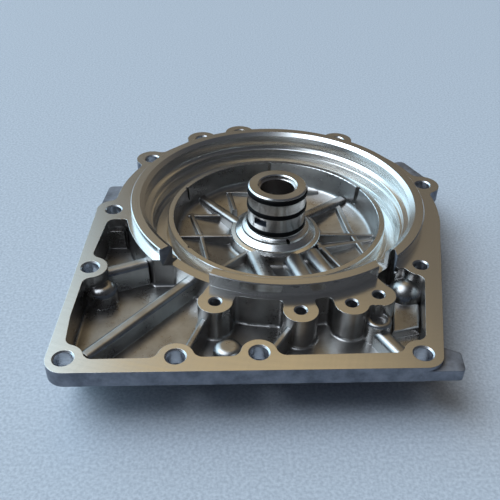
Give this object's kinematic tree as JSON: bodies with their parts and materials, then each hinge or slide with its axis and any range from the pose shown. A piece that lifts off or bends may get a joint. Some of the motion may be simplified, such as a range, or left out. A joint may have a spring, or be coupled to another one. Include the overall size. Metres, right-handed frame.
{
  "type": "die cast housing",
  "caption": "Die cast aluminium end housing with a turned spigot and bore, a hollow hub post with seal rings and a split bush, and a ribbed, pocketed bolting flange.",
  "frame": {"origin": "on the axis of the turned bore, in the plane of the foot ring that it stands on", "axes": "+Z along the bore axis, out of the open machined side; -Y towards the straight edge of the flange; +X to the right as the picture sees it"},
  "size_m": [0.2278, 0.2531, 0.0486],
  "materials": {
    "cast_aluminium": "die cast satin, with milled and turned faces",
    "bush_metal": "smooth rolled bush",
    "seal_ring": "matt black"
  },
  "bodies": {
    "root": {"housing": "cast_aluminium", "hub_bush": "bush_metal", "seal_ring_low": "seal_ring", "seal_ring_mid": "seal_ring", "seal_ring_top": "seal_ring"}
  },
  "joints": []
}
